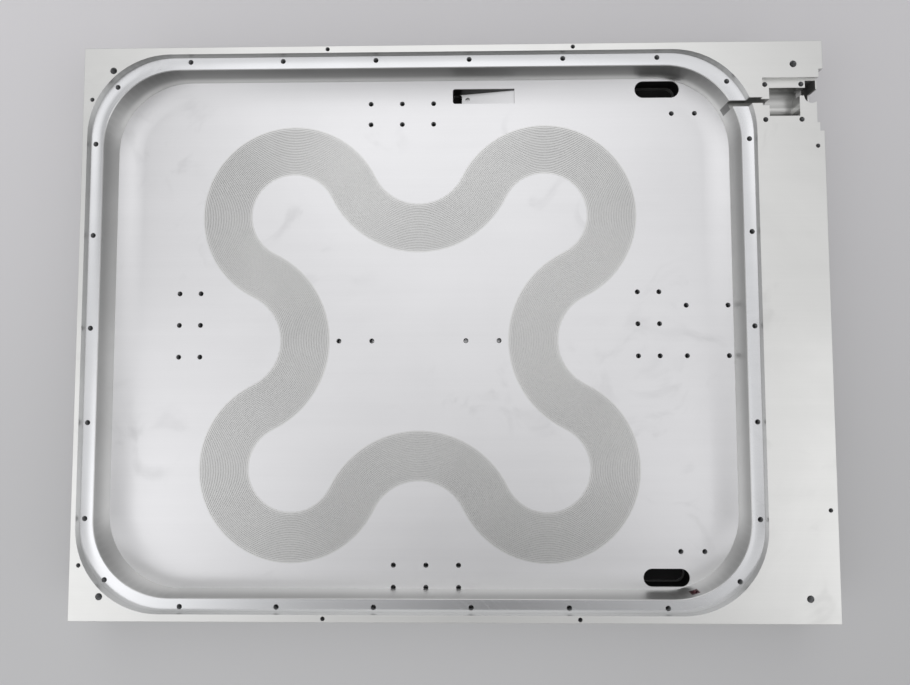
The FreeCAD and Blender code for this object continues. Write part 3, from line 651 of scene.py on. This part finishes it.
def tapped_holes():
    """(x, y, level, radius) of every small hole that a mount states."""
    holes = []
    for mount in mounts.values():
        if mount["kind"] != "bolt_pattern":
            continue
        x, y, z = mount_place(mount["name"])
        dims = mount["dims"]
        half_x, half_y = (dims.get(f"spacing_{axis}_mm", 0) / 2 for axis in "xy")
        for side_x in ((-1, 1) if half_x else (0,)):
            for side_y in ((-1, 1) if half_y else (0,)):
                middle = (x + half_x * side_x, y + half_y * side_y)
                holes.append((*middle, z + MOUNT_DROP, dims["hole_r_mm"]))
    return holes


def add_helix(vertices, faces, mouth, axes, radius, pitch, depth, turns):
    """A ridge that winds inwards from a hole's mouth; axes are two across and one out."""
    half_ridge = RIDGE_HALF * pitch
    across, upright, out = (Vector(axis) for axis in axes)
    start = len(vertices)
    for i in range(turns * THREAD_SIDES + 1):
        angle = 2 * math.pi * i / THREAD_SIDES
        spoke = across * math.cos(angle) + upright * math.sin(angle)
        level = -MOUTH_GAP - half_ridge - pitch * i / THREAD_SIDES
        for reach, rise in ((radius, half_ridge), (radius - depth, 0.0), (radius, -half_ridge)):
            vertices.append(Vector(mouth) + spoke * reach + out * (level + rise))
    for i in range(turns * THREAD_SIDES):
        a = start + i * 3
        faces += [(a, a + 1, a + 4, a + 3), (a + 1, a + 2, a + 5, a + 4)]


def make_threads(material):
    """Helical ridges in every tapped hole and in the two hose ports."""
    vertices, faces = [], []
    upwards = ((1, 0, 0), (0, 1, 0), (0, 0, 1))
    sideways = ((0, 1, 0), (0, 0, 1), (1, 0, 0))
    for x, y, level, radius in tapped_holes():
        depth = SMALL_DEPTH * radius / SMALL_RADIUS
        turns = THROUGH_TURNS if radius > THROUGH_RADIUS else BLIND_TURNS
        add_helix(vertices, faces, (x, y, level), upwards, radius, SMALL_PITCH, depth, turns)
    for name in ("port_a", "port_b"):
        dims = mounts[name]["dims"]
        mouth = mount_place(name) + Vector((dims["length_mm"] / 2, 0, 0))
        add_helix(vertices, faces, mouth, sideways, dims["r_mm"], PORT_PITCH, PORT_THREAD_DEPTH, PORT_TURNS)
    make_piece("hole_threads", vertices, faces, material)


# ---- studio ----

# the ground's size and level, in metres
GROUND_SIZE = 6.0
GROUND_LEVEL = 0.0
# painted shadow on the ground under the plate: its tone, and how far its edge lies inside the plate's, in
# mm
UNDER_PLATE_SHADOW_TONE = 0.03
UNDER_PLATE_SHADOW_INSET = 6
# The sky's light low down and overhead, what the back and the flanks add to it, what the
# corners behind take, and how bright the dark body and the plain backdrop are.
LOW_LIGHT, HIGH_LIGHT = 0.42, 0.8
BACK_LIGHT = 0.36
FLANK_LIGHT = 0.58
CORNER_SHADE = 0.36
BODY_LIGHT = 0.16
BACKDROP_LIGHT = 0.72
# Directions in the sky as leans, x / z and y / z: the middle of each area, and the
# leans between which it fades in.
BACK_LEAN, SIDE_LEAN, BODY_LEAN = -0.11, 0.03, 0.05
BACK_DEPTH, BACK_SPREAD = (0.08, 0.42), (0.7, 0.27)
FLANK_DEPTH, FLANK_SIDE = (0.2, -0.35), (0.35, 0.66)
CORNER_DEPTH, CORNER_SIDE = (-0.05, 0.5), (0.46, 0.7)
BODY_START, BODY_END = (-0.14, -0.42), (-2.3, -1.5)
# the body's darkness: from its soft edge to its core, by its width for each step outwards
BODY_EDGE, BODY_CORE = (1.6, 0.5, 0.0, 0.72), (0.5, 0.05, 0.0, 0.28)
# keeps divisors above zero
LEAST = 0.02

CAMERA_LENS = 23.641
CAMERA_SENSOR = 36.0
CAMERA_NEAR = 0.01
CAMERA_PLACE = (0.007956, -0.027072, 0.370796)
CAMERA_TURN_DEGREES = (3.0239, 0.9117, -0.1334)


def make_ground():
    """A wide pale card with painted light, lighter at the back and left, and a painted shadow right under
    the plate.
    """
    bpy.ops.mesh.primitive_plane_add(size=GROUND_SIZE, location=(0, 0, GROUND_LEVEL))
    ground = bpy.context.object
    ground.name = "ground"
    material, g, shader = new_material("ground_card")
    place = object_place(g)
    x, y = g.split(place)[:2]
    # painted light: lighter towards the back and the left
    tone = g.mix(g.span(y, -0.25, 0.25), GROUND_NEAR_SHADE, GROUND_FAR_LIGHT)
    tone = g.scale_colour(tone, g.span(x, -0.3, 0.3, 1.06, 0.94))
    shade = g.plus(0.98, g.noise(place, 2.0, detail=2.0), 0.04)
    # painted shadow under the plate, so the passages through it look dark
    low, high = cad_box
    reach = [(high[axis] - low[axis]) / 2 / MM - UNDER_PLATE_SHADOW_INSET for axis in range(2)]
    under_plate_shadow = box_mask(g, place, (-reach[0], -reach[1], -9), (reach[0], reach[1], 9), soft=5)
    g.feed(shader["Base Color"], g.scale_colour(tone, g.blend(under_plate_shadow, shade, UNDER_PLATE_SHADOW_TONE)))
    shader["Roughness"].default_value = GROUND_ROUGHNESS
    shader["Specular IOR Level"].default_value = 0.1
    ground.data.materials.append(material)


def make_sky():
    """A soft room: bright overhead and behind, with the dark of a person in front."""
    world = bpy.data.worlds.new("studio")
    bpy.context.scene.world = world
    world.use_nodes = True
    g = Graph(world.node_tree)
    x, y, z = g.split(g.node("ShaderNodeTexCoord").outputs["Generated"])
    up = g.math("MAXIMUM", z, LEAST)
    out_x, out_y = g.math("DIVIDE", x, up), g.math("DIVIDE", y, up)
    light = g.span(z, 0.0, 0.5, LOW_LIGHT, HIGH_LIGHT)

    # the light at the back widens with its depth
    depth = g.math("ADD", g.math("MAXIMUM", out_y, 0.0), 0.3)
    spread = g.math("DIVIDE", g.gap(out_x, BACK_LEAN), depth)
    back = g.times(g.span(out_y, *BACK_DEPTH), g.span(spread, *BACK_SPREAD))
    light = g.plus(light, back, BACK_LIGHT)

    side = g.gap(out_x, SIDE_LEAN)
    flank = g.times(g.span(side, *FLANK_SIDE), g.span(out_y, *FLANK_DEPTH))
    light = g.plus(light, flank, FLANK_LIGHT)
    corner = g.times(g.span(side, *CORNER_SIDE), g.span(out_y, *CORNER_DEPTH))
    light = g.plus(light, corner, -CORNER_SHADE)

    aside = g.gap(x, g.math("MULTIPLY", up, BODY_LEAN))
    width = g.math("DIVIDE", aside, g.math("MAXIMUM", g.math("ABSOLUTE", y), LEAST))
    body = g.math("ADD", g.span(width, *BODY_EDGE), g.span(width, *BODY_CORE))
    reach = g.times(g.span(out_y, *BODY_START), g.span(out_y, *BODY_END))
    light = g.blend(g.times(body, reach), light, BODY_LIGHT)

    # the backdrop itself looks plain
    seen = g.node("ShaderNodeLightPath").outputs["Is Camera Ray"]
    light = g.blend(seen, light, BACKDROP_LIGHT)
    shade = world.node_tree.nodes["Background"]
    g.feed(shade.inputs["Color"], g.scale_colour(SKY_COLOUR, light))
    shade.inputs["Strength"].default_value = 1.0


def make_camera():
    data = bpy.data.cameras.new("camera")
    data.sensor_width = CAMERA_SENSOR
    data.lens = CAMERA_LENS
    data.clip_start = CAMERA_NEAR
    camera = bpy.data.objects.new("camera", data)
    camera.location = CAMERA_PLACE
    camera.rotation_euler = Euler([math.radians(turn) for turn in CAMERA_TURN_DEGREES], "XYZ")
    bpy.context.scene.collection.objects.link(camera)
    bpy.context.scene.camera = camera


def paint(node, material):
    for slot in frame["nodes"][node].material_slots:
        slot.material = material


def main():
    paint("cold_plate_body", make_slab_material())
    paint("channel_cover", make_cover_material())
    make_track_grooves(make_track_material())
    make_threads(make_thread_material())
    make_ground()
    make_sky()
    make_camera()
    bpy.context.scene.view_settings.view_transform = "Standard"


main()
